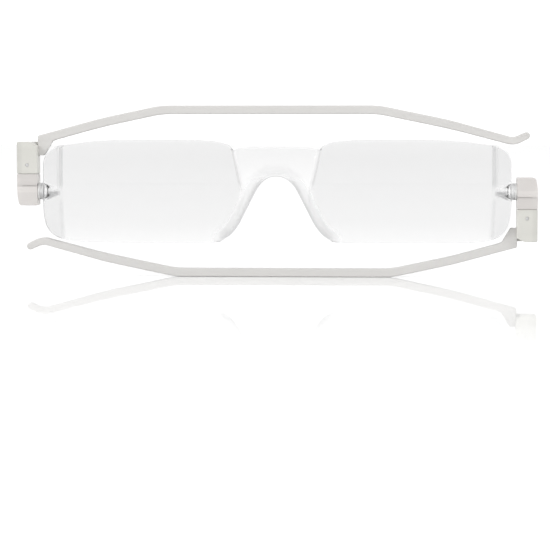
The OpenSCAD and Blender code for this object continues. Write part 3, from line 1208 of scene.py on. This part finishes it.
def build_floor():
    """A white acrylic sheet: polished round the object, matt farther out, so its mirror image fades."""
    turns = ((-1, -1), (1, -1), (1, 1), (-1, 1))
    corners = [(x * FLOOR_HALF, y * FLOOR_HALF, FLOOR_Z) for x, y in turns]
    floor = new_object("floor", corners, [(0, 1, 2, 3)])
    material = bpy.data.materials.new("floor")
    material.use_nodes = True
    nodes, links = material.node_tree.nodes, material.node_tree.links
    nodes.clear()
    out = nodes.new("ShaderNodeOutputMaterial")
    mix = nodes.new("ShaderNodeMixShader")
    matte = nodes.new("ShaderNodeBsdfDiffuse")
    gloss = nodes.new("ShaderNodeBsdfGlossy")
    matte.inputs["Color"].default_value = (FLOOR_WHITE, FLOOR_WHITE, FLOOR_WHITE, 1)
    gloss.inputs["Color"].default_value = (1, 1, 1, 1)
    gloss.inputs["Roughness"].default_value = 0.03
    position = nodes.new("ShaderNodeNewGeometry")
    split = nodes.new("ShaderNodeSeparateXYZ")
    links.new(position.outputs["Position"], split.inputs[0])
    across = math_node(nodes, links, "ABSOLUTE", split.outputs["X"])
    across = math_node(nodes, links, "SUBTRACT", across, cad_high.x)
    across = math_node(nodes, links, "MAXIMUM", across, 0.0)
    square_x = math_node(nodes, links, "MULTIPLY", across, across)
    square_y = math_node(nodes, links, "MULTIPLY", split.outputs["Y"], split.outputs["Y"])
    away = math_node(nodes, links, "SQRT", math_node(nodes, links, "ADD", square_x, square_y))
    share = spread(nodes, links, away, MIRROR_FULL_TO, MIRROR_GONE_AT, MIRROR_SHARE, 0.0)
    links.new(share, mix.inputs["Fac"])
    links.new(matte.outputs["BSDF"], mix.inputs[1])
    links.new(gloss.outputs["BSDF"], mix.inputs[2])
    links.new(mix.outputs["Shader"], out.inputs["Surface"])
    floor.data.materials.append(material)
    floor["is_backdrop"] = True


def build_world():
    """An even white studio, darker in a low patch that the front faces and high up behind it."""
    world = bpy.data.worlds.new("studio")
    bpy.context.scene.world = world
    world.use_nodes = True
    nodes, links = world.node_tree.nodes, world.node_tree.links
    nodes.clear()
    out = nodes.new("ShaderNodeOutputWorld")
    background = nodes.new("ShaderNodeBackground")
    coords = nodes.new("ShaderNodeTexCoord")
    split = nodes.new("ShaderNodeSeparateXYZ")
    links.new(coords.outputs["Generated"], split.inputs[0])
    facing = spread(nodes, links, split.outputs["Y"], -0.92, -0.6, 1.0, 0.0)
    low_down = spread(nodes, links, split.outputs["Z"], 0.12, 0.28, 1.0, 0.0)
    from_floor = spread(nodes, links, split.outputs["Z"], 0.0, 0.08, 0.0, 1.0)
    patch = math_node(nodes, links, "MULTIPLY", facing, low_down)
    patch = math_node(nodes, links, "MULTIPLY", patch, from_floor)
    darker = math_node(nodes, links, "MULTIPLY", patch, 0.7)
    behind = spread(nodes, links, split.outputs["Y"], 0.15, 0.5, 0.0, 0.5)
    high_up = spread(nodes, links, split.outputs["Z"], 0.3, 0.5, 0.0, 1.0)
    below_top = spread(nodes, links, split.outputs["Z"], 0.85, 0.97, 1.0, 0.0)
    overhead = math_node(nodes, links, "MULTIPLY", behind, high_up)
    overhead = math_node(nodes, links, "MULTIPLY", overhead, below_top)
    darker = math_node(nodes, links, "ADD", darker, overhead)
    even = spread(nodes, links, split.outputs["Z"], 0.0, 0.9, 1.18, 1.13)
    strength = math_node(nodes, links, "SUBTRACT", even, darker)
    links.new(strength, background.inputs["Strength"])
    background.inputs["Color"].default_value = (1, 1, 1, 1)
    links.new(background.outputs["Background"], out.inputs["Surface"])


def add_softbox(name, place_at, power):
    """A square softbox, turned to the middle of the object."""
    light = bpy.data.lights.new(name, "AREA")
    light.shape = "SQUARE"
    light.size = 0.9
    light.energy = power
    obj = bpy.data.objects.new(name, light)
    obj.location = place_at
    obj.rotation_mode = "QUATERNION"
    obj.rotation_quaternion = (MIDDLE - Vector(place_at)).to_track_quat("-Z", "Y")
    bpy.context.scene.collection.objects.link(obj)


def build_camera():
    """A lens half a metre away, a few degrees above the floor and to the right of square."""
    elevation = math.radians(4.0)
    azimuth = math.radians(3.0)
    distance = 0.52
    view_width = (cad_high.x - cad_low.x) / FILLS_WIDTH
    data = bpy.data.cameras.new("camera")
    data.sensor_width = 36
    data.lens = data.sensor_width * distance / view_width
    data.clip_start, data.clip_end = 0.05, 20
    camera = bpy.data.objects.new("camera", data)
    aim = Vector((-0.00033, 0, 0.0005))
    level = math.cos(elevation)
    back = Vector((math.sin(azimuth) * level, -math.cos(azimuth) * level, math.sin(elevation)))
    camera.location = aim + back * distance
    camera.rotation_mode = "QUATERNION"
    camera.rotation_quaternion = (-back).to_track_quat("-Z", "Y")
    bpy.context.scene.collection.objects.link(camera)
    bpy.context.scene.camera = camera


build_floor()
build_world()
add_softbox("left_light", (-1.1, -1.1, 1.0), 7)
add_softbox("right_light", (1.1, -1.1, 1.0), 5)
build_camera()
bpy.context.scene.view_settings.view_transform = "Standard"
bpy.context.scene.view_settings.look = "None"

low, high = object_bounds()
